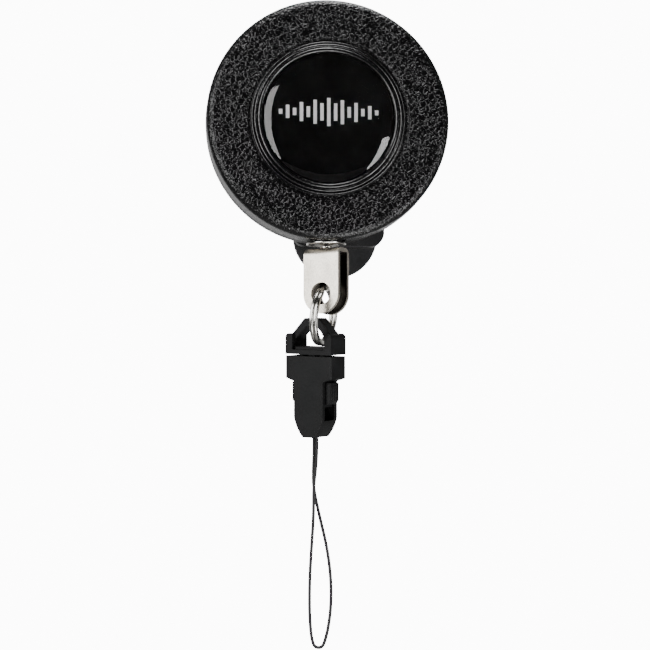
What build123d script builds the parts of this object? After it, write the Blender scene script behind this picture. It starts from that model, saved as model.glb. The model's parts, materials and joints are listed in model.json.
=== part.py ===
from build123d import *
import math
import os

# Retractable tether reel: a round leather-faced case worn on a belt clip, with a sprung cord that
# ends in a swivelling clevis, a split ring, a side-release mini buckle and a thin cord loop.
# Millimetres, +Z up, the badge faces -Y. The origin is on the reel's axis, on the outer face of the
# clip base that the belt lies against.

# ---- reel case ----
case_radius = 29.0
case_depth = 13.6            # plain face of the facing to the back of the rear cover
facing_thickness = 1.2
front_wall = 1.6
side_wall = 1.6
rear_wall = 1.8
seam_depth = 7.8             # plain face of the facing to the seam between the covers
seam_gap = 0.15
rear_inset = 0.2             # the rear cover is a little smaller than the facing
front_edge_round = 2.0
rear_edge_round = 1.4
spigot_gap = 0.1
spigot_wall = 1.1
spigot_height = 1.9

# ---- badge and the raised ring round it ----
badge_radius = 15.5
badge_gap = 0.25
label_thickness = 0.8
dome_edge_height = 0.5
dome_height = 2.1
ring_width = 2.75
ring_height = 1.0
ring_valley = 0.3
groove_width = 0.7
groove_depth = 0.35

# ---- spool, spring and tether ----
post_radius = 2.4
post_seat = 0.8
running_gap = 0.05
spool_front = 3.9            # depths are measured from the plain face of the facing
spool_back = 11.2
spool_flange = 0.9
spool_radius = 21.5
drum_radius = 14.0
drum_wall = 1.4
spool_floor = 1.1
cord_plane = 6.6
tether_diameter = 0.9
winding_width = 3.3
winding_height = 3.0
spring_strip = 0.3
spring_pitch = 0.8
spring_turns = 8
spring_inner = 4.6
spring_width = 5.4

# ---- cord outlet ----
notch_width = 8.6
notch_front = 1.7
notch_back = 11.6
notch_top = 24.5             # distance below the reel's axis
guide_gap = 0.1
guide_bottom = 28.2
guide_top = 24.6
eyelet_radius = 4.8
eyelet_flange = 0.6
eyelet_barrel = 3.0
eyelet_bore = 2.1
eyelet_bottom = 29.6

# ---- clevis and the tether's end ----
clevis_top = 30.4
clevis_height = 15.7
clevis_width = 9.5
clevis_depth = 5.3
clevis_sheet = 1.0
clevis_bend = 1.8
clevis_hole = 2.65
clevis_yaw = -35.0
swivel_radius = 0.95
swivel_gap = 0.08
collar_radius = 1.5
collar_height = 0.4
stop_radius = 1.2
stop_height = 3.4
end_gap = 0.1

# ---- split ring ----
ring_outer = 7.25
ring_section = 1.3
ring_axial = 2.1
ring_seam = 0.12
ring_yaw = -25.0
ring_lean = -8.0
ring_slack = 2.15            # how far the top of the ring stands above the middle of the clevis hole

# ---- mini buckle ----
buckle_width = 13.5
buckle_depth = 6.1
halves_gap = 0.4
loop_height = 8.9
loop_wall_height = 5.2
loop_wall = 2.0
loop_base = 2.0
loop_front_base = 1.3
loop_front_rim = 1.05
frame_depth = 3.4
apex_width = 4.0
apex_bar = 1.9
body_width = 8.5
shoulder_height = 5.5
shoulder_chamfer = 0.8
body_length = 19.7
taper_start = 14.9
tip_width = 3.3
window_depth = 4.0
window_top = 6.3
window_bottom = 15.6
mouth_width = 10.4
arm_thickness = 1.1
arm_centre = 3.1
arm_depth = 3.4
arm_root_gap = 0.15
tab_top = 6.5
tab_height = 5.2
tab_proud = 1.4
arm_end = 12.4
guide_plate = 1.6
guide_plate_depth = 3.0
guide_plate_length = 11.0
buckle_turn = -36.0
buckle_tilt = 8.0
buckle_tilt_yaw = -5.0       # the tilt leans the loop towards someone standing this far round
buckle_x = -2.2
buckle_y = -4.9
buckle_z = -55.5

# ---- loop cord ----
loop_cord_diameter = 0.8
strand_spacing = 0.86
strand_clearance = 0.06
exit_run = 3.5               # straight stretch of each strand below the buckle
knot_radius = 1.25
knot_height = 2.2

# ---- belt clip ----
clip_x = 3.5
clip_base_thickness = 2.4
clip_base_radius = 21.0
clip_base_z = -6.5
boss_width = 22.6
boss_bottom = -28.8
boss_top = -18.0
boss_proud = 0.6
lever_width = 20.7
lever_inner = 5.4
lever_thickness = 2.2
lever_top = 19.0
lever_bottom = -35.6
lever_edge_round = 0.7
pivot_y = 3.2
pivot_z = 9.5
clip_pin_radius = 1.25
knuckle_radius = 2.45
knuckle_length = 5.2
lug_thickness = 2.0
lug_gap = 0.25
lug_radius = 3.0
lip_width = 16.0
lip_height = 2.0
lip_z = -26.5
lip_clearance = 0.3
spring_wire = 0.6

# ---- screws ----
screw_radius = 1.1
screw_head_radius = 2.0
screw_head_height = 1.3
case_screw_circle = 25.2
case_screw_angles = (35.0, 145.0, 215.0, 325.0)
case_boss_radius = 2.3
clip_screw_length = 3.4
clip_screw_places = ((-10.5, -16.0), (17.5, -16.0), (3.5, -0.5))

# ---- derived places ----
front_y = -(clip_base_thickness + case_depth)
rear_y = -clip_base_thickness
cord_y = front_y + cord_plane
shell_radius = case_radius - facing_thickness
rear_radius = case_radius - rear_inset
hole_z = -(clevis_top + clevis_height - clevis_width / 2)
stop_top_z = -(clevis_top + clevis_sheet + end_gap)
collar_top_z = -(clevis_top - end_gap - collar_height)
buckle_lean = Rot(0, 0, buckle_tilt_yaw) * Rot(buckle_tilt, 0, 0)
buckle_place = Pos(buckle_x, buckle_y, buckle_z) * buckle_lean * Rot(0, 0, buckle_turn)


def depth(distance):
    """Y of a plane that lies this far behind the plain face of the facing."""
    return front_y + distance


def outline(points, rounds=()):
    """Flat face through the points, with some corners rounded as (corner number, radius)."""
    face = make_face(Polyline(*points, close=True))
    for number, radius in rounds:
        corner = Vector(*points[number])
        vertex = min(face.vertices(), key=lambda v: (Vector(v.X, v.Y, v.Z) - corner).length)
        face = fillet(vertex, radius)
    return face


def turned(points, rounds=()):
    """Solid of revolution about the reel's axis from (radius, y) points."""
    return revolve(outline(points, rounds), Axis.Y)


def rod_y(radius, y0, y1, x=0.0, z=0.0):
    """Cylinder along Y."""
    return Pos(x, (y0 + y1) / 2, z) * Rot(90, 0, 0) * Cylinder(radius, abs(y1 - y0))


def rod_x(radius, x0, x1, y=0.0, z=0.0):
    """Cylinder along X."""
    return Pos((x0 + x1) / 2, y, z) * Rot(0, 90, 0) * Cylinder(radius, abs(x1 - x0))


def rod_z(radius, z0, z1, x=0.0, y=0.0):
    """Cylinder along Z."""
    return Pos(x, y, (z0 + z1) / 2) * Cylinder(radius, abs(z1 - z0))


def block(x0, x1, y0, y1, z0, z1):
    """Box between two corners."""
    middle = Pos((x0 + x1) / 2, (y0 + y1) / 2, (z0 + z1) / 2)
    return middle * Box(abs(x1 - x0), abs(y1 - y0), abs(z1 - z0))


def plate(face, y0, y1):
    """A face drawn as (x, z) becomes a plate between two values of y."""
    upright = Pos(0, y1, 0) * Rot(90, 0, 0) * face
    return extrude(upright, amount=y1 - y0, dir=(0, -1, 0))


def polar(radius, angle):
    """(x, z) at an angle from +X towards +Z."""
    turn = math.radians(angle)
    return radius * math.cos(turn), radius * math.sin(turn)


def notch():
    """The slot in the rim that the cord outlet sits in."""
    half = notch_width / 2
    return block(-half, half, depth(notch_front), depth(notch_back), -case_radius - 2, -notch_top)


def leather_facing():
    """Grained facing: raised ring, plain annulus, rounded edge and the band round the side."""
    inner = badge_radius + badge_gap
    outer = inner + ring_width
    step = ring_width / 4
    crest = front_y - ring_height
    points = [
        (inner, depth(facing_thickness)),
        (inner, crest + ring_valley),
        (inner + step * 0.5, crest),
        (inner + step * 1.4, crest),
        (inner + step * 2.0, crest + ring_valley),
        (inner + step * 2.6, crest),
        (inner + step * 3.4, crest),
        (outer, crest + ring_height * 0.6),
        (outer, depth(groove_depth)),
        (outer + groove_width, depth(groove_depth)),
        (outer + groove_width * 1.7, front_y),
        (case_radius, front_y),
        (case_radius, depth(seam_depth)),
        (shell_radius, depth(seam_depth)),
        (shell_radius, depth(facing_thickness)),
    ]
    return turned(points, [(11, front_edge_round), (10, 0.3), (4, 0.25), (14, 0.4)]) - notch()


def badge_label():
    seat = depth(facing_thickness)
    return rod_y(badge_radius, seat - label_thickness, seat)


def badge_dome():
    """Clear resin lens: a low upright edge under a shallow spherical cap."""
    base = depth(facing_thickness) - label_thickness
    top = base - dome_height
    rise = dome_height - dome_edge_height
    ball_radius = (badge_radius**2 + rise**2) / (2 * rise)
    ball = Pos(0, top + ball_radius, 0) * Sphere(ball_radius)
    return rod_y(badge_radius, top - 1, base) & ball


def case_screw_holes(radius, y0, y1):
    """Rods on the four case screws' axes, to cut or to add."""
    places = [polar(case_screw_circle, angle) for angle in case_screw_angles]
    return [rod_y(radius, y0, y1, x, z) for x, z in places]


def front_cover():
    inner = shell_radius - side_wall
    plate_back = facing_thickness + front_wall
    points = [
        (0, depth(facing_thickness)),
        (shell_radius, depth(facing_thickness)),
        (shell_radius, depth(seam_depth)),
        (inner, depth(seam_depth)),
        (inner, depth(plate_back)),
        (0, depth(plate_back)),
    ]
    cover = turned(points, [(1, 0.4)])
    boss_back = depth(case_depth - rear_wall - 0.1)
    for boss in case_screw_holes(case_boss_radius, depth(plate_back - 0.2), boss_back):
        ring_part = boss & rod_y(shell_radius - spigot_wall - side_wall, front_y, rear_y)
        cover += ring_part
    for hole in case_screw_holes(screw_radius, depth(plate_back + 1.5), rear_y):
        cover -= hole
    cover -= rod_y(post_radius, depth(plate_back - post_seat), depth(plate_back + 1))
    cover -= rod_y(screw_radius, front_y, depth(plate_back))
    cover -= rod_y(screw_head_radius, front_y, depth(facing_thickness + screw_head_height / 3))
    return cover - notch()


def rear_cover():
    inner = shell_radius - side_wall
    lip = inner - spigot_gap
    floor = case_depth - rear_wall
    start = seam_depth + seam_gap
    points = [
        (0, rear_y),
        (rear_radius, rear_y),
        (rear_radius, depth(start)),
        (lip, depth(start)),
        (lip, depth(start - spigot_height)),
        (lip - spigot_wall, depth(start - spigot_height)),
        (lip - spigot_wall, depth(floor)),
        (0, depth(floor)),
    ]
    cover = turned(points, [(1, rear_edge_round)])
    relief = case_boss_radius + 0.25
    for hole in case_screw_holes(relief, depth(start - spigot_height - 1), depth(floor)):
        cover -= hole
    for hole in case_screw_holes(screw_radius + 0.1, depth(floor - 1), rear_y):
        cover -= hole
    for hole in case_screw_holes(screw_head_radius, rear_y - screw_head_height, rear_y):
        cover -= hole
    cover -= rod_y(post_radius, depth(floor - 1), depth(floor + post_seat))
    for x, z in clip_screw_places:
        cover -= rod_y(screw_radius, rear_y - 1.2, rear_y, x, z)
    return cover - notch()


def screw(length):
    """Pan screw along +Y, tip at the origin, with a cross recess in its head."""
    shank = rod_y(screw_radius, 0, length)
    head = rod_y(screw_head_radius, length, length + screw_head_height - 0.1)
    head = fillet(head.edges().filter_by(GeomType.CIRCLE).sort_by(Axis.Y)[-1], 0.35)
    top = length + screw_head_height
    recess = block(-1.3, 1.3, top - 0.8, top, -0.25, 0.25)
    recess += block(-0.25, 0.25, top - 0.8, top, -1.3, 1.3)
    return shank + head - recess


def case_screws():
    length = case_depth - screw_head_height - facing_thickness - front_wall - 1.6
    tip = rear_y - screw_head_height - length
    places = [polar(case_screw_circle, angle) for angle in case_screw_angles]
    return Compound(children=[Pos(x, tip, z) * screw(length) for x, z in places])


def clip_screws():
    tip = -clip_screw_length
    length = clip_screw_length - screw_head_height
    return Compound(children=[Pos(x, tip, z) * screw(length) for x, z in clip_screw_places])


def centre_post():
    """Fixed axle of the spool, slotted for the inner end of the mainspring."""
    front = depth(facing_thickness + front_wall - post_seat)
    back = depth(case_depth - rear_wall + post_seat)
    post = rod_y(post_radius, front, back)
    slot_front = depth(spool_front + spool_floor + 0.3)
    slot = block(-0.25, 0.25, slot_front, back - 1.5, 0, post_radius + 1)
    hole = rod_y(screw_radius - 0.2, front, front + 3.0)
    return post - slot - hole


def post_screw():
    front = depth(facing_thickness + front_wall - post_seat)
    head_front = depth(facing_thickness + 0.05)
    head_back = depth(facing_thickness + screw_head_height / 3)
    head = rod_y(screw_head_radius - 0.1, head_front, head_back)
    shank = rod_y(screw_radius - 0.2, head_back, front + 2.6)
    return head + shank


def spool():
    bore = post_radius + running_gap
    front = depth(spool_front)
    back = depth(spool_back)
    half = winding_width / 2 + 0.05
    near = cord_y - half
    far = cord_y + half
    hub = spring_inner - 1.0
    cavity = drum_radius - drum_wall
    floor = front + spool_floor
    points = [
        (bore, front),
        (spool_radius, front),
        (spool_radius, near),
        (drum_radius, near),
        (drum_radius, far),
        (spool_radius, far),
        (spool_radius, far + spool_flange),
        (drum_radius, far + spool_flange),
        (drum_radius, back),
        (cavity, back),
        (cavity, floor),
        (hub, floor),
        (hub, floor + 0.2),
        (bore, floor + 0.2),
    ]
    wheel = turned(points)
    for angle in range(0, 360, 60):
        x, z = polar((drum_radius + spool_radius) / 2, angle + 30)
        wheel -= rod_y(2.0, front - 1, back, x, z)
    return wheel


def spool_washer():
    front = depth(facing_thickness + front_wall + 0.05)
    back = depth(spool_front - 0.05)
    return rod_y(5.2, front, back) - rod_y(post_radius + running_gap, front - 1, back + 1)


def mainspring():
    """Flat strip wound as half turns, each from one of two centres a half pitch apart."""
    shift = spring_pitch / 2
    inner_edges = []
    outer_edges = []
    for number in range(spring_turns * 2):
        radius = spring_inner + number * shift
        centre = 0.0 if number % 2 == 0 else shift
        start = centre + radius if number % 2 == 0 else centre - radius
        end = centre - radius if number % 2 == 0 else centre + radius
        rise = radius if number % 2 == 0 else -radius
        thick = spring_strip if number % 2 == 0 else -spring_strip
        inner_edges.append(ThreePointArc((start, 0), (centre, rise), (end, 0)))
        outer_edges.append(
            ThreePointArc((start + thick, 0), (centre, rise + thick), (end - thick, 0))
        )
        last = end
        last_thick = -thick
    begin = Line((spring_inner, 0), (spring_inner + spring_strip, 0))
    finish = Line((last, 0), (last + last_thick, 0))
    face = make_face([*inner_edges, finish, *outer_edges, begin])
    middle = depth((spool_front + spool_floor + spool_back) / 2)
    return plate(face, middle - spring_width / 2, middle + spring_width / 2)


def tether_wound():
    """The wound part of the tether as one closed ring on the drum."""
    half = winding_width / 2
    ring = rod_y(drum_radius + winding_height, cord_y - half, cord_y + half)
    return ring - rod_y(drum_radius, cord_y - half - 1, cord_y + half + 1)


def tether_cable():
    """From where it leaves the winding, through the eyelet, to the collar of the tether's end."""
    bend_z = -(guide_top + 1.6)
    reach = drum_radius + winding_height + tether_diameter / 2 + running_gap
    turn = math.asin(reach / -bend_z)
    run = -bend_z * math.cos(turn) - 3.0
    start = (run * math.sin(turn), cord_y, bend_z + run * math.cos(turn))
    middle = (0, cord_y, bend_z)
    end = (0, cord_y, collar_top_z)
    shortest = bend_z - collar_top_z
    radius = 0.45 * shortest / math.tan(turn / 2)
    path = FilletPolyline(start, middle, end, radius=radius)
    section = Plane(origin=path @ 0, z_dir=path % 0) * Circle(tether_diameter / 2)
    return sweep(section, path=path)


def cord_guide():
    """Plastic block that fills the notch in the rim and carries the eyelet."""
    half = notch_width / 2 - guide_gap
    front = depth(notch_front + guide_gap)
    back = depth(notch_back - guide_gap)
    body = block(-half, half, front, back, -guide_bottom, -guide_top)
    body = fillet(body.edges().filter_by(Axis.Y).sort_by(Axis.Z)[:2], 0.4)
    body -= rod_z(eyelet_barrel, -guide_bottom - 1, -guide_top + 1, 0, cord_y)
    return body


def cord_nozzle():
    """Bright eyelet with a trumpet mouth under the rim."""
    top = -(guide_top + 0.2)
    low = -eyelet_bottom
    points = [
        (eyelet_bore, top),
        (eyelet_barrel, top),
        (eyelet_barrel, low + eyelet_flange),
        (eyelet_radius, low + eyelet_flange),
        (eyelet_radius, low),
        (eyelet_radius - 0.9, low),
        (eyelet_bore, low + 2.6),
    ]
    face = outline(points, [(4, 0.28), (3, 0.25), (5, 0.4)])
    ring = revolve(Rot(90, 0, 0) * face, Axis.Z)
    return Pos(0, cord_y, 0) * ring


def cable_stop():
    """Crimped end of the tether: a collar, a neck through the clevis and a stop under its bridge."""
    collar_low = -(clevis_top - end_gap)
    stop = rod_z(collar_radius, collar_low, collar_top_z, 0, cord_y)
    stop += rod_z(swivel_radius, stop_top_z - 0.1, collar_low + 0.1, 0, cord_y)
    stop += rod_z(stop_radius, stop_top_z - stop_height, stop_top_z, 0, cord_y)
    low_edge = stop.edges().filter_by(GeomType.CIRCLE).sort_by(Axis.Z)[0]
    return fillet(low_edge, 0.6)


def clevis():
    """Bent strap: two round-ended legs with a cross hole and a bridge with the swivel hole."""
    half_depth = clevis_depth / 2
    low = -clevis_height
    strap = block(-clevis_width / 2, clevis_width / 2, -half_depth, half_depth, low, 0)
    strap = fillet(strap.edges().filter_by(Axis.X).sort_by(Axis.Z)[-2:], clevis_bend)
    inside = half_depth - clevis_sheet
    gap = block(-clevis_width, clevis_width, -inside, inside, low - 1, -clevis_sheet)
    gap = fillet(gap.edges().filter_by(Axis.X).sort_by(Axis.Z)[-2:], clevis_bend - clevis_sheet)
    strap -= gap
    end = low + clevis_width / 2
    profile = block(-clevis_width / 2, clevis_width / 2, -half_depth - 1, half_depth + 1, end, 1)
    profile += rod_y(clevis_width / 2, -half_depth - 1, half_depth + 1, 0, end)
    strap = strap & profile
    strap -= rod_y(clevis_hole, -half_depth - 1, half_depth + 1, 0, end)
    strap -= rod_z(swivel_radius + swivel_gap, -clevis_sheet - 1, 1)
    return Pos(0, cord_y, -clevis_top) * Rot(0, 0, clevis_yaw) * strap


def split_ring():
    """Two flat turns side by side, shown by the seam between them."""
    inner = ring_outer - ring_section
    ring = Cylinder(ring_outer, ring_axial) - Cylinder(inner, ring_axial + 1)
    ring = fillet(ring.edges().filter_by(GeomType.CIRCLE), 0.3)
    middle = (ring_outer + inner) / 2
    seam_out = Cylinder(ring_outer + 1, ring_seam) - Cylinder(middle + 0.25, ring_seam + 1)
    seam_in = Cylinder(middle - 0.25, ring_seam)
    ring = ring - seam_out - seam_in
    ring = Rot(0, 0, ring_yaw) * Rot(0, 90, 0) * ring
    ring = Pos(0, cord_y, hole_z + ring_slack - ring_outer) * ring
    turn = math.radians(clevis_yaw)
    hole_axis = Axis((0, cord_y, hole_z), (math.sin(turn), -math.cos(turn), 0))
    return ring.rotate(hole_axis, ring_lean)


def buckle_loop():
    """Upper half of the buckle: a house-shaped loop, its base and the centre guide below it."""
    half = buckle_width / 2
    half_depth = buckle_depth / 2
    low = halves_gap / 2
    wall_in = half - loop_wall
    outer = block(-half, half, -half_depth, half_depth, low, loop_wall_height)
    top_edges = outer.edges().filter_by(Axis.Y).sort_by(Axis.Z)[-2:]
    outer = fillet(top_edges, 1.0)
    apex = apex_width / 2
    eave = loop_wall_height
    house = outline(
        [
            (-half + 0.5, loop_base),
            (-half + 0.5, eave - 0.7),
            (-apex, loop_height),
            (apex, loop_height),
            (half - 0.5, eave - 0.7),
            (half - 0.5, loop_base),
        ],
        [(2, 0.6), (3, 0.6)],
    )
    frame = plate(house, -frame_depth / 2, frame_depth / 2)
    loop = outer + frame
    under = loop_height - apex_bar
    gable = outline(
        [
            (-wall_in, loop_base),
            (-wall_in, loop_wall_height - 1.6),
            (-apex * 0.75, under),
            (apex * 0.75, under),
            (wall_in, loop_wall_height - 1.6),
            (wall_in, loop_base),
        ],
        [(0, 0.4), (5, 0.4), (2, 0.4), (3, 0.4)],
    )
    loop -= plate(gable, -half_depth - 1, half_depth + 1)
    step_back = -half_depth + loop_front_rim
    upper = block(-wall_in, wall_in, -half_depth - 1, step_back, loop_front_base, loop_height)
    loop -= upper
    upper_back = block(-wall_in, wall_in, frame_depth / 2, half_depth + 1, loop_base, loop_height)
    loop -= upper_back
    loop += block(
        -guide_plate / 2,
        guide_plate / 2,
        -guide_plate_depth / 2,
        guide_plate_depth / 2,
        -guide_plate_length,
        low + 0.5,
    )
    return buckle_place * loop


def latch_arm(side):
    """Springy arm with its ribbed finger tab; side is -1 for left and 1 for right."""
    half_depth = arm_depth / 2
    inner = arm_centre - arm_thickness / 2
    outer = arm_centre + arm_thickness / 2
    root = halves_gap / 2 - arm_root_gap
    arm = block(inner, outer, -half_depth, half_depth, -arm_end, root)
    tab_out = body_width / 2 + tab_proud
    tab = block(outer - 0.3, tab_out, -half_depth, half_depth, -tab_top - tab_height, -tab_top)
    tab = chamfer(tab.edges().filter_by(Axis.Y).group_by(Axis.X)[-1].sort_by(Axis.Z)[0], 0.9)
    for offset in (-1.1, -0.37, 0.37, 1.1):
        tab -= rod_z(0.16, -tab_top - tab_height - 1, -tab_top + 1, tab_out, offset)
    arm += tab
    if side < 0:
        arm = mirror(arm, about=Plane.YZ)
    return buckle_place * arm


def buckle_body():
    """Lower half of the buckle: shoulders, two side windows and a rounded tapering tip."""
    half = buckle_width / 2
    half_depth = buckle_depth / 2
    waist = body_width / 2
    tip = tip_width / 2
    top = -halves_gap / 2
    bulge = (waist + (waist - tip) * 0.02, -(taper_start + body_length) / 2)
    right = [
        Polyline(
            (0, top),
            (half, top),
            (half, -shoulder_height),
            (waist, -shoulder_height - shoulder_chamfer),
            (waist, -taper_start),
        ),
        ThreePointArc(
            (waist, -taper_start),
            (bulge[0] - (waist - tip) * 0.36, bulge[1]),
            (tip, -body_length),
        ),
        Line((tip, -body_length), (0, -body_length)),
        Line((0, -body_length), (0, top)),
    ]
    half_face = make_face(right)
    body = plate(half_face, -half_depth, half_depth)
    body += mirror(body, about=Plane.YZ)
    upright = body.edges().filter_by(Axis.Z).filter_by(lambda e: abs(e.center().X) > waist + 1)
    body = fillet(upright, 0.35)
    rim = mouth_width / 2
    hollow = window_depth / 2
    body -= block(-rim, rim, -hollow, hollow, -window_top, top + 1)
    body -= block(-half, half, -hollow, hollow, -window_bottom, -window_top)
    slot = strand_spacing / 2
    hole = loop_cord_diameter / 2 + strand_clearance
    low = -body_length - 1
    high = -window_bottom + 1
    for x in (-slot, slot):
        body -= rod_z(hole, low, high, x, 0)
    body -= block(-slot, slot, -hole, hole, low, high)
    return buckle_place * body


def cord_knot():
    """Knot on the floor of the window space, with the two strands down to the tip."""
    floor = -window_bottom + 0.05
    knot = Pos(0, 0, floor + knot_height / 2) * Cylinder(knot_radius, knot_height)
    knot = fillet(knot.edges().filter_by(GeomType.CIRCLE), 0.6)
    for x in (-strand_spacing / 2, strand_spacing / 2):
        knot += rod_z(loop_cord_diameter / 2, -body_length, floor + 0.5, x, 0)
    return buckle_place * knot


def strand_exit(side):
    """Where a strand leaves the buckle's tip, and the next point straight out of it."""
    places = []
    for z in (-body_length, -body_length - exit_run):
        point = (buckle_place * Pos(side * strand_spacing / 2, 0, z)).position
        places.append((point.X, point.Y, point.Z))
    return places


# Route of the hanging loop: the left strand passes behind at the crossing, runs down the right side,
# round the narrow bottom and up the left side, and passes in front to the right-hand hole.
loop_route = [
    (-2.45, -1.6, -82.8),
    (-2.4, -1.4, -87.2),
    (-1.0, -1.5, -93.7),
    (0.9, -1.75, -101.5),
    (1.85, -1.95, -109.4),
    (1.75, -2.0, -116.0),
    (1.1, -2.0, -120.6),
    (0.35, -2.0, -123.6),
    (-0.4, -2.0, -125.2),
    (-2.1, -2.05, -125.1),
    (-2.75, -2.1, -123.5),
    (-3.15, -2.15, -120.6),
    (-3.4, -2.2, -115.9),
    (-3.35, -2.35, -108.6),
    (-2.9, -2.55, -100.8),
    (-2.45, -2.8, -93.8),
    (-2.5, -2.95, -87.2),
    (-1.95, -2.8, -82.9),
]


def bend_radii(points):
    """The largest even arc at each corner: 0.45 of its shorter run over tan(half the turn)."""
    radii = []
    for before, at, after in zip(points, points[1:], points[2:]):
        first = Vector(*at) - Vector(*before)
        second = Vector(*after) - Vector(*at)
        half_turn = math.radians(first.get_angle(second)) / 2
        radii.append(0.45 * min(first.length, second.length) / math.tan(half_turn))
    return radii


def loop_cord():
    left = strand_exit(-1)
    right = strand_exit(1)
    points = left + loop_route + right[::-1]
    radii = bend_radii(points)
    print("loop cord radii:", [round(r, 1) for r in radii])
    path = FilletPolyline(*points, radius=radii)
    section = Plane(origin=path @ 0, z_dir=path % 0) * Circle(loop_cord_diameter / 2)
    cord = sweep(section, path=path)
    expected = path.length * math.pi * loop_cord_diameter**2 / 4
    print("loop cord length:", round(path.length, 2), "volume:", round(cord.volume / expected, 4))
    print("loop cord ends:", [tuple(round(c, 2) for c in p) for p in left + right])
    return cord


def clip_base():
    """Round plate on the rear cover with a belt stop at its foot and two lugs for the lever."""
    back = 0.0
    base = rod_y(clip_base_radius, rear_y, back, clip_x, clip_base_z)
    half_boss = boss_width / 2
    boss_face = outline(
        [
            (clip_x - half_boss, boss_bottom),
            (clip_x + half_boss, boss_bottom),
            (clip_x + half_boss, boss_top),
            (clip_x - half_boss, boss_top),
        ],
        [(0, 3.5), (1, 3.5), (2, 1.0), (3, 1.0)],
    )
    base += plate(boss_face, rear_y, boss_proud)
    near = lever_width / 2 + lug_gap
    for side in (-1, 1):
        x0 = clip_x + side * near
        x1 = clip_x + side * (near + lug_thickness)
        lug = rod_x(lug_radius, x0, x1, pivot_y, pivot_z)
        lug += block(x0, x1, back - 0.5, pivot_y, pivot_z - lug_radius, pivot_z + lug_radius)
        base += lug
    reach = near + lug_thickness + 1
    base -= rod_x(clip_pin_radius, clip_x - reach, clip_x + reach, pivot_y, pivot_z)
    for x, z in clip_screw_places:
        base -= rod_y(screw_radius, rear_y - 1, back + 1, x, z)
        base -= rod_y(screw_head_radius + 0.05, -screw_head_height, back + 1, x, z)
    return base


def clip_lever():
    """Tongue with a round foot, a ribbed thumb end, two knuckles and the lip that holds the belt."""
    half = lever_width / 2
    foot = lever_bottom + half
    outer = lever_inner + lever_thickness
    face = outline(
        [
            (clip_x - half, foot),
            (clip_x + half, foot),
            (clip_x + half, lever_top),
            (clip_x - half, lever_top),
        ],
        [(2, 4.0), (3, 4.0)],
    )
    tongue = plate(face, lever_inner, outer)
    tongue += rod_y(half, lever_inner, outer, clip_x, foot)
    outline_edges = tongue.edges().filter_by(Plane.XZ)
    tongue = fillet(outline_edges.group_by(Axis.Y)[-1], lever_edge_round)
    for x0 in (clip_x - half + 0.1, clip_x + half - 0.1 - knuckle_length):
        tongue += rod_x(knuckle_radius, x0, x0 + knuckle_length, pivot_y, pivot_z)
        web = block(
            x0,
            x0 + knuckle_length,
            pivot_y,
            lever_inner + 0.5,
            pivot_z - knuckle_radius,
            pivot_z + knuckle_radius,
        )
        tongue += web
    tongue -= rod_x(
        clip_pin_radius + running_gap, clip_x - half - 1, clip_x + half + 1, pivot_y, pivot_z
    )
    lip_front = boss_proud + lip_clearance
    lip = block(
        clip_x - lip_width / 2,
        clip_x + lip_width / 2,
        lip_front,
        lever_inner + 0.4,
        lip_z - lip_height / 2,
        lip_z + lip_height / 2,
    )
    lip = chamfer(lip.edges().filter_by(Axis.X).group_by(Axis.Y)[0], 0.6)
    tongue += lip
    for number in range(4):
        z = lever_top - 3.0 - number * 2.2
        tongue -= block(clip_x - 7, clip_x + 7, outer - 0.5, outer + 1, z - 0.5, z + 0.5)
    return tongue


def clip_pin():
    reach = lever_width / 2 + lug_gap + lug_thickness
    return rod_x(clip_pin_radius, clip_x - reach, clip_x + reach, pivot_y, pivot_z)


def clip_spring():
    """Torsion spring on the pin, between the knuckles, with a leg on the base and one on the lever."""
    inner = clip_pin_radius + 0.15
    coil_outer = inner + spring_wire
    half = lever_width / 2 - knuckle_length - 0.4
    coil = rod_x(coil_outer, clip_x - half, clip_x + half, pivot_y, pivot_z)
    turns = int(2 * half / (spring_wire * 1.15))
    pitch = 2 * half / turns
    for number in range(1, turns):
        x = clip_x - half + number * pitch
        groove = rod_x(coil_outer + 1, x - 0.06, x + 0.06, pivot_y, pivot_z)
        coil -= groove - rod_x(inner + spring_wire / 2, x - 1, x + 1, pivot_y, pivot_z)
    coil -= rod_x(inner, clip_x - half - 1, clip_x + half + 1, pivot_y, pivot_z)
    low = pivot_z - 7.5
    base_y = spring_wire / 2 + 0.05
    legs = block(
        clip_x - half,
        clip_x - half + spring_wire,
        base_y - spring_wire / 2,
        base_y + spring_wire / 2,
        low,
        pivot_z,
    )
    legs += block(
        clip_x - half,
        clip_x - half + spring_wire,
        base_y - spring_wire / 2,
        pivot_y - inner,
        pivot_z - spring_wire / 2,
        pivot_z + spring_wire / 2,
    )
    lever_y = lever_inner - 0.05 - spring_wire / 2
    legs += block(
        clip_x + half - spring_wire,
        clip_x + half,
        lever_y - spring_wire / 2,
        lever_y + spring_wire / 2,
        low,
        pivot_z,
    )
    return coil + legs


nodes = {
    "leather_facing": leather_facing,
    "front_cover": front_cover,
    "badge_label": badge_label,
    "badge_dome": badge_dome,
    "rear_cover": rear_cover,
    "case_screws": case_screws,
    "centre_post": centre_post,
    "post_screw": post_screw,
    "spool": spool,
    "spool_washer": spool_washer,
    "mainspring": mainspring,
    "tether_wound": tether_wound,
    "tether_cable": tether_cable,
    "cord_guide": cord_guide,
    "cord_nozzle": cord_nozzle,
    "cable_stop": cable_stop,
    "clevis": clevis,
    "split_ring": split_ring,
    "buckle_loop": buckle_loop,
    "latch_left": lambda: latch_arm(-1),
    "latch_right": lambda: latch_arm(1),
    "buckle_body": buckle_body,
    "cord_knot": cord_knot,
    "loop_cord": loop_cord,
    "clip_base": clip_base,
    "clip_screws": clip_screws,
    "clip_lever": clip_lever,
    "clip_pin": clip_pin,
    "clip_spring": clip_spring,
}

os.makedirs("parts", exist_ok=True)
for name, make in nodes.items():
    export_step(make(), f"parts/{name}.step")
    print("made", name)
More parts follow.
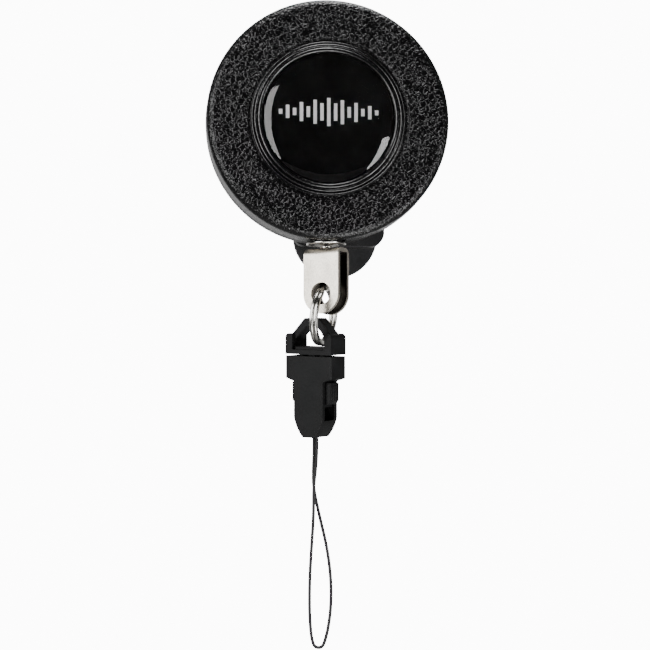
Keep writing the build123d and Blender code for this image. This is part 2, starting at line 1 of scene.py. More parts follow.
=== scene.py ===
# %% [markdown]
# # A retractable tether reel in Blender
# The object is a round leather-faced reel on a belt clip. A cord comes out of its rim and carries a
# metal clevis, a split ring, a small side-release buckle and a loop of thin black cord. The hard frame
# comes ready made, with every part and hinge in its place, so this lesson is about surfaces: each
# visible part is modelled again with its real edges and grain, in the place that the frame gives it.

# %% Load the frame
import json
import math

import bpy
from mathutils import Matrix, Vector


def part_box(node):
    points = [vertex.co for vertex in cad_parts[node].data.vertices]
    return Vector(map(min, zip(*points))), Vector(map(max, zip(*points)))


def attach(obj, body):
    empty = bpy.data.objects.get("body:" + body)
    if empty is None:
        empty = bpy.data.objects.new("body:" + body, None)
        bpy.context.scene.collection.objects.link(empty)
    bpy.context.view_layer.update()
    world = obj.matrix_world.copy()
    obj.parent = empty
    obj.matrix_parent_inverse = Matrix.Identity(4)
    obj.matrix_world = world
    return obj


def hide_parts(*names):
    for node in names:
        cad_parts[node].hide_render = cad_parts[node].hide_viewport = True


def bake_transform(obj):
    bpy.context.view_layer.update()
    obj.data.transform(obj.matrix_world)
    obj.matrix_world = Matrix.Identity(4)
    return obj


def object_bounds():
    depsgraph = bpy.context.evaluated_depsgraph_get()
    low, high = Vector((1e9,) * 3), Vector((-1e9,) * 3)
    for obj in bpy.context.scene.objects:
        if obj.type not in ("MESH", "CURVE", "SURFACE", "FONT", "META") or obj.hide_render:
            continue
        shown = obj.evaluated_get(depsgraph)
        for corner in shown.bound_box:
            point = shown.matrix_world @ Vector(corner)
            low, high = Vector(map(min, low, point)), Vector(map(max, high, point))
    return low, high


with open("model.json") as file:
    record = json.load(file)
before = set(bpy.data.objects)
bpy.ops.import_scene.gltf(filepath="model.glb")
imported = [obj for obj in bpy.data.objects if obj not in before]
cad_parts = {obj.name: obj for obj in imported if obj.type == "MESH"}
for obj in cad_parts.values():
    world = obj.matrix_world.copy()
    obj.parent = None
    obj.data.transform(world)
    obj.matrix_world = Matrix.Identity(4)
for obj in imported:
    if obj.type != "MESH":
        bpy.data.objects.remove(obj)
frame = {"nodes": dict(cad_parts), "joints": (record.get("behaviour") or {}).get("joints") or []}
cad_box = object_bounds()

joints = {joint["name"]: joint for joint in frame["joints"]}
mm = 0.001
print("parts:", len(frame["nodes"]), "joints:", len(joints))

# %% [markdown]
# The clevis and the ring each hang at their own angle, and the hinges already say which. The ring hinge
# runs through the clevis's holes, and the buckle hinge is the ring's own axis. A matrix for each lets it
# be modelled upright at the origin, in millimetres, and then be put in its place.

# %% Places from the hinges
def place(origin, y_axis, z_axis):
    """Matrix that takes a part modelled in millimetres at the origin to its place in metres."""
    turn = Matrix((y_axis.cross(z_axis), y_axis, z_axis)).transposed().to_4x4()
    return Matrix.Translation(origin) @ turn @ Matrix.Scale(mm, 4)

up = Vector((0, 0, 1))
hole_joint = joints["ring_swing"]
hole_centre = Vector(hole_joint["pos_m"])
clevis_front = Vector(hole_joint["axis"]).normalized()
clevis_place = place(hole_centre, -clevis_front, up)

ring_joint = joints["buckle_swing"]
ring_axis = Vector(ring_joint["axis"]).normalized()
ring_back = up.cross(ring_axis).normalized()
ring_place = place(Vector(ring_joint["pos_m"]), ring_back, ring_axis)

reel_low, reel_high = (Vector(corner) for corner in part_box("leather_facing"))
case_radius = (reel_high.x - reel_low.x) / 2 / mm
crest_y = reel_low.y / mm
print("case radius", round(case_radius, 2), "mm, ring crest at y", round(crest_y, 2), "mm")

# %% [markdown]
# Operators work on whatever is selected, and the frame arrives selected. So every new mesh starts by
# clearing the selection, and small helpers keep the steps of modelling short: add, shape, finish.

# %% Modelling helpers
def deselect():
    """Leaves nothing selected and nothing in edit mode."""
    if bpy.context.object and bpy.context.object.mode != "OBJECT":
        bpy.ops.object.mode_set(mode="OBJECT")
    bpy.ops.object.select_all(action="DESELECT")

def only(piece):
    """Makes one object the selected and active one."""
    deselect()
    piece.select_set(True)
    bpy.context.view_layer.objects.active = piece
    return piece

def modify(piece, kind, **settings):
    """Adds a modifier with its settings and applies it."""
    only(piece)
    modifier = piece.modifiers.new(kind.title(), kind)
    for name, value in settings.items():
        setattr(modifier, name, value)
    bpy.ops.object.modifier_apply(modifier=modifier.name)
    return piece

def combine(piece, tools, operation="DIFFERENCE"):
    """Cuts, joins or intersects a piece with tool meshes, which are then removed."""
    for tool in tools if isinstance(tools, (list, tuple)) else [tools]:
        modify(piece, "BOOLEAN", object=tool, operation=operation, solver="EXACT")
        bpy.data.objects.remove(tool)
    return piece

def clean(piece, distance=0.002):
    """Merges doubles and points every face outwards."""
    only(piece)
    bpy.ops.object.mode_set(mode="EDIT")
    bpy.ops.mesh.select_all(action="SELECT")
    bpy.ops.mesh.remove_doubles(threshold=distance)
    bpy.ops.mesh.normals_make_consistent(inside=False)
    bpy.ops.object.mode_set(mode="OBJECT")
    return piece

def soften(piece, width, segments=3, angle=30):
    """Rounds the sharp edges of a hard part."""
    modify(piece, "BEVEL", width=width, segments=segments, limit_method="ANGLE",
           angle_limit=math.radians(angle), harden_normals=False, use_clamp_overlap=True)
    return piece

def finish(piece, name, body, material, matrix=None, nodes=(), smooth=30, flat_faces=True):
    """Puts a finished piece in its place, hangs it on the body it rides on and hides the frame parts it
    stands for.
    """
    only(piece)
    if matrix is None:
        matrix = Matrix.Scale(mm, 4)
    piece.matrix_world = Matrix.Identity(4)
    piece.data.transform(matrix)
    piece.name = name
    piece.data.name = name
    bpy.ops.object.shade_smooth_by_angle(angle=math.radians(smooth))
    if flat_faces:
        modify(piece, "WEIGHTED_NORMAL", keep_sharp=True)
    piece.data.materials.clear()
    piece.data.materials.append(material)
    if body:
        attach(piece, body)
    if nodes:
        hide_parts(*nodes)
    print("made", name, len(piece.data.polygons), "faces")
    return piece

# %% [markdown]
# A lathe is the natural way to a round part: start from one ring of points, then extrude it, scale it
# and slide it to follow the section. Here the axis of the lathe is Y, the reel's own axis, and a section
# is a list of radii and depths in millimetres. Tight spacing gives the grain something to move later.

# %% The lathe
def lathe(section, steps):
    """Follows a section of (radius, y) in millimetres with one ring of points."""
    deselect()
    radius, depth = section[0]
    bpy.ops.mesh.primitive_circle_add(vertices=steps, radius=radius, location=(0, depth, 0),
                                      rotation=(math.pi / 2, 0, 0))
    piece = bpy.context.object
    bpy.ops.object.transform_apply(location=True, rotation=True, scale=True)
    bpy.ops.object.mode_set(mode="EDIT")
    bpy.ops.mesh.select_all(action="SELECT")
    for next_radius, next_depth in section[1:]:
        bpy.ops.mesh.extrude_edges_move(TRANSFORM_OT_translate={"value": (0, next_depth - depth, 0)})
        ratio = next_radius / radius
        bpy.ops.transform.resize(value=(ratio, 1, ratio), center_override=(0, next_depth, 0))
        radius, depth = next_radius, next_depth
    bpy.ops.mesh.select_all(action="SELECT")
    bpy.ops.mesh.remove_doubles(threshold=0.0005)
    bpy.ops.mesh.select_all(action="SELECT")
    bpy.ops.mesh.normals_make_consistent(inside=False)
    bpy.ops.object.mode_set(mode="OBJECT")
    return piece

def spaced(points, gap):
    """Adds points to a section so that none is further than the gap from the next."""
    dense = [points[0]]
    for (r0, y0), (r1, y1) in zip(points, points[1:]):
        parts = max(1, round(math.hypot(r1 - r0, y1 - y0) / gap))
        for step in range(1, parts + 1):
            share = step / parts
            dense.append((r0 + (r1 - r0) * share, y0 + (y1 - y0) * share))
    return dense

def quarter(centre, radius, start, end, parts=8):
    """Arc of a section between two angles in degrees, 0 along the radius and 90 towards +Y."""
    angles = [math.radians(start + (end - start) * k / parts) for k in range(parts + 1)]
    return [(centre[0] + radius * math.cos(a), centre[1] + radius * math.sin(a)) for a in angles]

def cutter_box(x0, x1, y0, y1, z0, z1):
    """Box in millimetres to cut with or to build from."""
    deselect()
    middle = ((x0 + x1) / 2, (y0 + y1) / 2, (z0 + z1) / 2)
    bpy.ops.mesh.primitive_cube_add(size=1, location=middle, scale=(x1 - x0, y1 - y0, z1 - z0))
    bpy.ops.object.transform_apply(location=True, rotation=True, scale=True)
    return bpy.context.object

def cutter_rod(radius, start, end, steps=48):
    """Round bar in millimetres between two points."""
    deselect()
    start, end = Vector(start), Vector(end)
    along = end - start
    turn = along.to_track_quat("Z", "Y").to_euler()
    bpy.ops.mesh.primitive_cylinder_add(vertices=steps, radius=radius, depth=along.length,
                                        location=(start + end) / 2, rotation=turn)
    bpy.ops.object.transform_apply(location=True, rotation=True, scale=True)
    return bpy.context.object

def prism(corners, y0, y1):
    """Flat outline of (x, z) corners, pulled out from y0 to y1."""
    deselect()
    bpy.ops.mesh.primitive_circle_add(vertices=len(corners), fill_type="NGON")
    piece = bpy.context.object
    for vertex, (x, z) in zip(piece.data.vertices, corners):
        vertex.co = (x, y0, z)
    bpy.ops.object.mode_set(mode="EDIT")
    bpy.ops.mesh.select_all(action="SELECT")
    bpy.ops.mesh.extrude_region_move(TRANSFORM_OT_translate={"value": (0, y1 - y0, 0)})
    bpy.ops.mesh.select_all(action="SELECT")
    bpy.ops.mesh.normals_make_consistent(inside=False)
    bpy.ops.object.mode_set(mode="OBJECT")
    return piece

# %% [markdown]
# Material maths reads best as plain expressions. One small class holds a socket and turns `+`, `*` and
# `-` into Math nodes, and one method makes any other node. Anything that is the same all over a surface
# is typed into the shader's own socket.

# %% Shader expressions
class Wire:
    """A shader socket that can be used in arithmetic."""

    def __init__(self, tree, socket):
        self.tree = tree
        self.socket = socket

    def node(self, kind, settings=None, output=0, **inputs):
        """Adds a node, sets its settings, then fills or links its inputs."""
        made = self.tree.nodes.new(kind)
        for name, value in (settings or {}).items():
            setattr(made, name, value)
        for name, value in inputs.items():
            key = int(name[1:]) if name[0] == "i" and name[1:].isdigit() else name.replace("_", " ")
            if isinstance(value, Wire):
                self.tree.links.new(value.socket, made.inputs[key])
            else:
                made.inputs[key].default_value = value
        return Wire(self.tree, made.outputs[output])

    def maths(self, operation, other=0.0, clamp=False):
        settings = {"operation": operation, "use_clamp": clamp}
        return self.node("ShaderNodeMath", settings, i0=self, i1=other)

    def axis(self, letter):
        """X, Y or Z of a vector."""
        return self.node("ShaderNodeSeparateXYZ", None, letter, Vector=self)

    def along(self, operation, other, output=0):
        """Vector arithmetic; other is a wire or three numbers."""
        other = other if isinstance(other, Wire) else tuple(other)
        return self.node("ShaderNodeVectorMath", {"operation": operation}, output, i0=self, i1=other)

    def __add__(self, other):
        return self.maths("ADD", other)

    def __mul__(self, other):
        return self.maths("MULTIPLY", other)

    def __sub__(self, other):
        return self.maths("SUBTRACT", other)

    def __rsub__(self, other):
        return self.node("ShaderNodeMath", {"operation": "SUBTRACT"}, i0=other, i1=self)

    __radd__ = __add__
    __rmul__ = __mul__

    def clamped(self):
        return self.maths("ADD", 0.0, clamp=True)

    def steps(self, low, high):
        """0 below low, 1 above high and smooth between."""
        settings = {"interpolation_type": "SMOOTHSTEP"}
        return self.node("ShaderNodeMapRange", settings, i0=self, i1=low, i2=high, i3=0.0, i4=1.0)

    def blend(self, first, second):
        """Mixes two colours by this factor."""
        return self.node("ShaderNodeMix", {"data_type": "RGBA"}, 2, i0=self, i6=first, i7=second)

def start_material(name, **constants):
    """New material: returns it, its shader and a wire for Object coordinates in metres."""
    material = bpy.data.materials.new(name)
    material.use_nodes = True
    shader = material.node_tree.nodes["Principled BSDF"]
    for socket, value in constants.items():
        shader.inputs[socket.replace("_", " ")].default_value = value
    coordinates = material.node_tree.nodes.new("ShaderNodeTexCoord")
    return material, shader, Wire(material.node_tree, coordinates.outputs["Object"])

def feed(shader, socket, wire):
    """Links a wire to a socket of the shader."""
    wire.tree.links.new(wire.socket, shader.inputs[socket])

def noise(where, size, detail=3.0, rough=0.55, output=0):
    """Noise whose features are about this many metres across; output 1 is its colour."""
    return where.node("ShaderNodeTexNoise", None, output,
                      Vector=where, Scale=1 / size, Detail=detail, Roughness=rough)

def cells(where, size, feature="F1"):
    """Voronoi cells about this many metres across."""
    return where.node("ShaderNodeTexVoronoi", {"feature": feature}, Vector=where, Scale=1 / size)

def bump(shader, height, distance):
    """Turns a height from 0 to 1 into relief of this many metres on the shader's normal."""
    feed(shader, "Normal", height.node("ShaderNodeBump", Height=height, Distance=distance))

# %% [markdown]
# ## The grained facing
# Pebbled leather is a skin of small soft cushions with creases between them, and its shine breaks up
# into specks on the cushions' tops. Relief that small could be bump alone, but the rim shows in profile
# and light rakes across the face, so the large pebbles are real: the lathe's fine net is pushed about
# by a Displace modifier, weighted so that the raised ring and the side band stay smoother. The shader
# adds the creases and pores that are finer than the net.

# %% Leather material
def leather_material():
    material, shader, where = start_material("pebbled_leather", Specular_IOR_Level=0.36,
                                             Coat_Roughness=0.14)
    warp = noise(where, 1.8 * mm, 2.0, output=1)
    bent = where.node("ShaderNodeVectorMath", {"operation": "MULTIPLY_ADD"},
                      i0=warp, i1=(0.9 * mm,) * 3, i2=where)
    cushions = cells(bent, 1.1 * mm, "DISTANCE_TO_EDGE").steps(0.0, 0.24)
    small = cells(bent, 0.52 * mm, "DISTANCE_TO_EDGE").steps(0.0, 0.3)
    folds = noise(where, 1.3 * mm, 0.0)
    pores = noise(where, 0.15 * mm, 2.0, 0.6)
    across = where.axis("X")
    upward = where.axis("Z")
    radius = (across * across + upward * upward).maths("SQRT")
    rim = radius.steps(27.2 * mm, 28.6 * mm)
    ring = 1 - radius.steps(18.4 * mm, 19.2 * mm)
    grain = 1 - rim * 0.45 - ring * 0.6
    bump(shader, (cushions * 0.1 + small * 0.02 + folds * 0.13) * grain + pores * 0.002, 1 * mm)
    patches = noise(where, 6 * mm, 3.0)
    tone = patches.steps(0.35, 0.7) * 0.4 + cushions * 0.6
    feed(shader, "Base Color", tone.blend((0.001, 0.001, 0.0011, 1), (0.0028, 0.0028, 0.003, 1)))
    feed(shader, "Roughness", (0.21 - cushions * 0.03) + rim * 0.06 + pores * 0.05)
    feed(shader, "Coat Weight", ring * (0.75 - patches.steps(0.4, 0.6) * 0.3))
    return material

leather = leather_material()

# %% Facing shape
plain_y = crest_y + 1.0
seam_y = reel_high.y / mm
badge_wall = 15.75
ring_beads = [(16.4, 0.58, 1.0), (17.42, 0.44, 0.85), (18.15, 0.34, 0.5)]
bead_drop = 0.55
notch_half = 4.3
edge_round = 2.0
facing_inside = case_radius - 1.2

def facing_section():
    """Ring beads, groove, plain annulus, rounded edge and side band, then back along the inside."""
    front = [(badge_wall, plain_y + 1.2), (badge_wall, plain_y - 0.4)]
    for centre, half, height in ring_beads:
        front += [(centre + half * math.cos(math.radians(a)),
                   plain_y - height + bead_drop * (1 - math.sin(math.radians(a))))
                  for a in (165, 135, 105, 75, 45, 15)]
    front += [(18.62, plain_y + 0.3), (19.0, plain_y + 0.36), (19.5, plain_y + 0.02)]
    front.append((case_radius - edge_round, plain_y))
    edge = quarter((case_radius - edge_round, plain_y + edge_round), edge_round, -90, 0)
    side = [(case_radius, seam_y - 0.35), (case_radius - 0.12, seam_y - 0.08),
            (case_radius - 0.35, seam_y)]
    dense = spaced(front + edge[1:] + side, 0.24)
    inside = [(facing_inside, seam_y), (facing_inside, plain_y + 1.2), (badge_wall, plain_y + 1.2)]
    return dense + inside

def grained_facing():
    piece = lathe(facing_section(), 640)
    group = piece.vertex_groups.new(name="grain")
    for vertex in piece.data.vertices:
        radius = math.hypot(vertex.co.x, vertex.co.z)
        outside = vertex.co.y < seam_y - 0.4 and radius > badge_wall + 0.05
        skin = vertex.co.y < plain_y + 1.1 or radius > facing_inside + 0.3
        weight = 0.0
        if outside and skin:
            weight = 0.25 if radius < 19.2 else 1.0
            if radius > case_radius - 0.6:
                weight = 0.5
        group.add([vertex.index], weight, "REPLACE")
    pebbles = bpy.data.textures.new("pebbles", "VORONOI")
    pebbles.noise_scale = 1.15
    pebbles.noise_intensity = 1.4
    modify(piece, "DISPLACE", texture=pebbles, strength=-0.04, mid_level=0.45, vertex_group="grain",
           texture_coords="LOCAL")
    notch = cutter_box(-notch_half, notch_half, plain_y + 1.7, seam_y + 1, -case_radius - 2, -24.5)
    slit_angle = math.radians(-36)
    slit = cutter_box(15.5, 19.2, plain_y - 2, plain_y - 0.35, -0.1, 0.1)
    slit.data.transform(Matrix.Rotation(-slit_angle, 4, "Y"))
    return combine(piece, [notch, slit])

finish(grained_facing(), "grained_facing", "case", leather,
       nodes=["leather_facing"], smooth=60, flat_faces=False)

# %% [markdown]
# ## The badge
# The badge is a printed disc under a poured drop of clear resin. The drop is what shows: its skin is a
# shallow dome that turns down at the rim, so each lamp appears in it as a bright crescent. A real lens
# over a real print gives that depth, and a painted highlight wouldn't. The print is a plain motif.

# %% Print and resin
label_low, label_high = (Vector(corner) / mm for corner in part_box("badge_label"))
dome_low, dome_high = (Vector(corner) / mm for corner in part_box("badge_dome"))
badge_radius = (label_high.x - label_low.x) / 2

wave_height = (3.4, 2.1, 2.9, 1.3, 2.3, 0.9, 1.6, 0.6)

def print_material():
    """Black ink with a pale sound wave of upright bars: no letters, the same on both sides."""
    material, shader, where = start_material("badge_print", Roughness=0.35, Specular_IOR_Level=0.2)
    across = where.axis("X")
    height = where.axis("Z")

    def stroke(centre, half, value, soft=0.06 * mm):
        distance = (value - centre).maths("ABSOLUTE")
        return 1 - distance.steps(half - soft, half + soft)

    middle = 1.4 * mm
    bar_half = 0.42 * mm
    bar_pitch = 1.62 * mm
    marks = stroke(0, bar_half, across) * stroke(middle, wave_height[0] * mm, height)
    for number, half_height in enumerate(wave_height[1:], 1):
        for side in (-1, 1):
            bar = stroke(side * number * bar_pitch, bar_half, across)
            marks = marks + bar * stroke(middle, half_height * mm, height)
    feed(shader, "Base Color", marks.clamped().blend((0.0022, 0.0022, 0.0024, 1), (0.78, 0.78, 0.78, 1)))
    return material

def resin_material():
    material, _, _ = start_material("clear_resin", Roughness=0.015, IOR=1.5,
                                    Transmission_Weight=1.0, Base_Color=(1, 1, 1, 1))
    return material

label = lathe([(0.01, label_high.y), (badge_radius, label_high.y), (badge_radius, label_low.y + 0.02),
               (0.01, label_low.y + 0.02)], 192)
soften(label, 0.08, 2)
finish(label, "printed_disc", "case", print_material(), nodes=["badge_label"])

dome_edge = 0.5

def dome_section():
    """Flat base, a low upright edge and a cap that is flat in the middle and rolls off at the rim."""
    rim_radius = badge_radius - 0.08
    rise = dome_high.y - dome_low.y
    cap = []
    for step in range(33):
        share = 1 - step / 32
        height = dome_edge + (rise - dome_edge) * (1 - share**4.5)
        cap.append((max(rim_radius * share, 0.01), dome_high.y - height))
    return [(0.01, dome_high.y), (rim_radius, dome_high.y)] + cap

finish(lathe(dome_section(), 256), "resin_dome", "case", resin_material(),
       nodes=["badge_dome"], smooth=60, flat_faces=False)

# %% [markdown]
# ## Moulded and bent parts
# The covers, the clip and the buckle are moulded plastic, and their sizes are already right in the
# frame. What a moulding has and the frame lacks is a small round on every edge, which catches a thin
# line of light. So a copy of each is merged, its flat faces are joined up, and a Bevel modifier rounds
# what is still sharp. The frame's own meshes stay as they are.

# %% Refining a copy of a frame part
def refined(node, name, body, material, width=0.2, segments=3, angle=35, smooth=40):
    """Copies a frame part in millimetres, joins its flat faces and rounds its sharp edges."""
    deselect()
    piece = bpy.data.objects.new(name, frame["nodes"][node].data.copy())
    bpy.context.collection.objects.link(piece)
    piece.data.transform(Matrix.Scale(1 / mm, 4))
    clean(piece, 0.003)
    bpy.ops.object.mode_set(mode="EDIT")
    bpy.ops.mesh.select_all(action="SELECT")
    bpy.ops.mesh.dissolve_limited(angle_limit=math.radians(0.6))
    bpy.ops.object.mode_set(mode="OBJECT")
    soften(piece, width, segments, angle)
    return finish(piece, name, body, material, nodes=[node], smooth=smooth)

# %% [markdown]
# Moulded black plastic isn't flat black: the mould is spark-eroded, so the skin is a fine even orange
# peel that spreads the light, edges are rubbed a little smoother, and dust and handling leave faint
# paler patches. One recipe serves all the plastics, and each gets its own grain, gloss and shade.

# %% Plastic materials
def moulded_plastic(name, shade, gloss, grain, relief, sheen=0.4):
    """Black moulded plastic with spark-eroded grain this many metres across."""
    material, shader, where = start_material(name, Specular_IOR_Level=sheen)
    peel = noise(where, grain, 3.0, 0.6)
    pits = cells(where, grain * 1.6, "F1").steps(0.1, 0.55)
    handling = noise(where, 5 * mm, 4.0, 0.6).steps(0.38, 0.72)
    tint = handling.blend(shade, tuple(channel * 1.7 for channel in shade[:3]) + (1,))
    feed(shader, "Base Color", tint)
    feed(shader, "Roughness", (handling * 0.1 + gloss) + peel * 0.08)
    bump(shader, peel * 0.6 + pits * 0.4, relief)
    return material

case_plastic = moulded_plastic("case_plastic", (0.009, 0.009, 0.0095, 1), 0.36, 0.22 * mm, 0.012 * mm)
clip_plastic = moulded_plastic("clip_plastic", (0.008, 0.008, 0.0085, 1), 0.4, 0.3 * mm, 0.016 * mm)
buckle_plastic = moulded_plastic("buckle_plastic", (0.004, 0.004, 0.0042, 1), 0.44, 0.16 * mm, 0.008 * mm,
                                 sheen=0.2)
spool_plastic = moulded_plastic("spool_plastic", (0.55, 0.55, 0.52, 1), 0.4, 0.3 * mm, 0.01 * mm)

# %% Metal materials
def metal(name, colour, gloss, speckle, relief, worn=0.12, mottle=0.82):
    """Plated or plain metal with tumbled speckle and faint wiping marks."""
    material, shader, where = start_material(name, Metallic=1.0)
    grains = noise(where, speckle, 4.0, 0.65)
    wiping = noise(where, 3.5 * mm, 3.0, 0.6).steps(0.35, 0.7)
    darker = tuple(channel * mottle for channel in colour[:3]) + (1,)
    feed(shader, "Base Color", (grains.steps(0.35, 0.62)).blend(darker, colour))
    feed(shader, "Roughness", (wiping * worn + gloss) + grains * 0.12)
    bump(shader, grains, relief)
    return material

def clevis_metal():
    """Nickel that is bright outside, with painted shade: near black in the gap between the legs."""
    material = metal("clevis_nickel", (0.76, 0.71, 0.62, 1), 0.27, 0.4 * mm, 0.03 * mm, mottle=0.72)
    tree = material.node_tree
    shader = tree.nodes["Principled BSDF"]
    where = Wire(tree, tree.nodes["Texture Coordinate"].outputs["Object"])
    offset = where.along("SUBTRACT", hole_centre)
    inner_half = (strip_depth / 2 - sheet) * mm
    ceiling = (bridge_z - sheet) * mm
    # Painted shade mask: the slab between the legs' inner faces, below the bridge's underside.
    through = offset.along("DOT_PRODUCT", clevis_front, "Value").maths("ABSOLUTE")
    gap = 1 - through.steps(inner_half + 0.02 * mm, inner_half + 0.13 * mm)
    bridge = offset.along("DOT_PRODUCT", up, "Value").steps(ceiling - 0.05 * mm, ceiling + 0.05 * mm)
    plated = Wire(tree, shader.inputs["Base Color"].links[0].from_socket)
    # Painted shade: the gap between the legs is coloured near black instead of the plated colour.
    feed(shader, "Base Color", (gap * (1 - bridge)).blend(plated, (0.02, 0.018, 0.015, 1)))
    return material

eyelet_nickel = metal("eyelet_nickel", (0.8, 0.78, 0.75, 1), 0.1, 0.4 * mm, 0.003 * mm, 0.06)
ring_steel = metal("ring_steel", (0.5, 0.49, 0.46, 1), 0.11, 0.3 * mm, 0.005 * mm, 0.08)
screw_steel = metal("screw_steel", (0.36, 0.36, 0.37, 1), 0.3, 0.15 * mm, 0.006 * mm)
spring_steel = metal("spring_steel", (0.5, 0.51, 0.53, 1), 0.22, 0.2 * mm, 0.004 * mm)
brass = metal("brass", (0.78, 0.58, 0.28, 1), 0.2, 0.2 * mm, 0.004 * mm)

# %% Covers, outlet block and belt clip
refined("rear_cover", "moulded_rear_cover", "case", case_plastic, 0.15)
refined("cord_guide", "outlet_block", "case", case_plastic, 0.2)
refined("clip_base", "clip_plate", "case", clip_plastic, 0.3)
refined("clip_lever", "clip_tongue", "clip_lever", clip_plastic, 0.25)
refined("clip_screws", "clip_pan_screws", "case", screw_steel, 0.06, 2)
refined("clip_pin", "clip_hinge_pin", "case", screw_steel, 0.2)

# %% Buckle halves and latch arms
refined("buckle_loop", "buckle_upper_half", "buckle_loop", buckle_plastic, 0.4, 4)
refined("buckle_body", "buckle_lower_half", "buckle_body", buckle_plastic, 0.42, 4)
for side in ("left", "right"):
    latch = f"latch_{side}"
    refined(latch, f"ribbed_{latch}", latch, buckle_plastic, 0.1, 2)

# %% [markdown]
# ## The clevis
# The clevis is one strip of nickel-plated steel, bent into a U and blanked with round ends. A section
# of the bent strip, pulled across its width, has the bend's inner and outer radius right. An upright
# outline with the round foot then trims it, and a bar drills the hole through both legs at once.

# %% Clevis shape
clevis_high = Vector(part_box("clevis")[1]) / mm
strip_width = 9.5
strip_depth = 5.3
sheet = 1.0
bend_radius = 1.8
hole_radius = 2.65
bridge_z = clevis_high.z - hole_centre.z / mm

def bent_strip():
    """U-shaped section in the plane of the legs' depth, then pulled across the width."""
    half = strip_depth / 2
    foot = -strip_width / 2 - 0.5
    outside = [(-half, foot)]
    outside += [(-half + bend_radius - bend_radius * math.cos(math.radians(a)),
                 bridge_z - bend_radius + bend_radius * math.sin(math.radians(a)))
                for a in range(0, 91, 9)]
    inner_radius = bend_radius - sheet
    inside = [(-half + sheet, foot)]
    inside += [(-half + bend_radius - inner_radius * math.cos(math.radians(a)),
                bridge_z - bend_radius + inner_radius * math.sin(math.radians(a)))
               for a in range(0, 91, 9)]
    left = outside + [(-y, z) for y, z in reversed(outside)]
    right = [(-y, z) for y, z in inside] + [(y, z) for y, z in reversed(inside)]
    piece = prism(left + right, -strip_width / 2, strip_width / 2)
    piece.data.transform(Matrix.Rotation(math.pi / 2, 4, "Z"))
    return piece

def blanked_outline():
    """Upright outline of a leg: straight sides and a half-round foot."""
    half = strip_width / 2
    foot = [(half * math.cos(math.radians(a)), half * math.sin(math.radians(a)))
            for a in range(180, 361, 5)]
    return prism(foot + [(half, bridge_z + 1), (-half, bridge_z + 1)], -strip_depth, strip_depth)

clevis = combine(bent_strip(), blanked_outline(), "INTERSECT")
combine(clevis, [cutter_rod(hole_radius, (0, -strip_depth, 0), (0, strip_depth, 0), 72),
                 cutter_rod(1.03, (0, 0, bridge_z - 2), (0, 0, bridge_z + 1), 40)])
soften(clean(clevis, 0.001), 0.14, 3, 40)
finish(clevis, "bent_clevis", "clevis", clevis_metal(), clevis_place, ["clevis"], smooth=35)

# %% [markdown]
# ## The split ring
# A split ring is two flat turns of one wire that lie side by side, and each end steps over where the
# other begins. A closed tube can't show that, so the wire's real path is drawn as two turns whose
# height changes only in a short crossing, and a flat rounded section is swept along it.

# %% Split ring shape
ring_radius = 6.6
wire_half = 0.65
wire_height_half = 0.45
wire_round = 0.28
turn_gap = 0.94
crossing = 42.0

def ring_path():
    """Two turns about Z; the step from one side to the other is short."""
    points = []
    for angle in range(8, 713, 4):
        share = min(max((angle - 360 + crossing / 2) / crossing, 0.0), 1.0)
        height = (share * share * (3 - 2 * share) - 0.5) * turn_gap
        turn = math.radians(angle + 205)
        points.append((ring_radius * math.cos(turn), ring_radius * math.sin(turn), height))
    return points

def flat_wire_section():
    """Rounded flat section that the sweep carries along the path."""
    deselect()
    bpy.ops.curve.primitive_bezier_circle_add(radius=1)
    section = bpy.context.object
    section.data.splines.clear()
    spline = section.data.splines.new("POLY")
    corners = []
    for quadrant, (sx, sz) in enumerate(((1, 1), (-1, 1), (-1, -1), (1, -1))):
        for step in range(5):
            a = math.radians(quadrant * 90 + step * 22.5)
            corners.append((sx * (wire_half - wire_round) + wire_round * math.cos(a),
                            sz * (wire_height_half - wire_round) + wire_round * math.sin(a)))
    spline.points.add(len(corners) - 1)
    for point, (x, z) in zip(spline.points, corners):
        point.co = (x, z, 0, 1)
    spline.use_cyclic_u = True
    return section

def split_ring():
    section = flat_wire_section()
    data = bpy.data.curves.new("ring_wire", "CURVE")
    data.dimensions = "3D"
    data.twist_mode = "Z_UP"
    spline = data.splines.new("POLY")
    path = ring_path()
    spline.points.add(len(path) - 1)
    for point, where in zip(spline.points, path):
        point.co = (*where, 1)
    data.bevel_mode = "OBJECT"
    data.bevel_object = section
    data.use_fill_caps = True
    wire = bpy.data.objects.new("ring_wire", data)
    bpy.context.collection.objects.link(wire)
    only(wire)
    bpy.ops.object.convert(target="MESH")
    bpy.data.objects.remove(section)
    return clean(bpy.context.object, 0.0005)

finish(split_ring(), "two_turn_ring", "split_ring", ring_steel, ring_place,
       ["split_ring"], smooth=35, flat_faces=False)

# %% [markdown]
# ## The eyelet and the tether's end
# The eyelet is turned: a flange with a rolled edge and a trumpet mouth that the cord runs over. Its
# lathe is the same as before, turned to stand on Z. The tether itself shows only when it is pulled out,
# so it is a short rod that runs from the case to its end piece.

# %% Eyelet, stop and tether
cord_y = hole_centre.y / mm
eyelet_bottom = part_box("cord_nozzle")[0][2] / mm
eyelet_height = 4.8
flange_radius = 4.8
flange_round = 0.3
tube_radius = 3.0
mouth_radius = 2.1

def upright(piece):
    """Turns a lathed piece from the Y axis to stand along Z at the cord."""
    piece.data.transform(Matrix.Translation((0, cord_y, 0)) @ Matrix.Rotation(math.pi / 2, 4, "X"))
    return piece

def eyelet_section():
    """Heights are positive upwards from the flange's underside."""
    rim = [(flange_radius - flange_round + flange_round * math.cos(math.radians(a)),
            flange_round + flange_round * math.sin(math.radians(a)))
           for a in range(90, -91, -18)]
    mouth = [(mouth_radius + 1.7 * (1 - math.sin(math.radians(a))), 2.2 * (1 - math.cos(math.radians(a))))
             for a in range(6, 91, 7)]
    tube = [(tube_radius, eyelet_height), (tube_radius, 0.8), (tube_radius + 0.2, 0.6)]
    return tube + rim + mouth + [(mouth_radius, eyelet_height), (tube_radius, eyelet_height)]

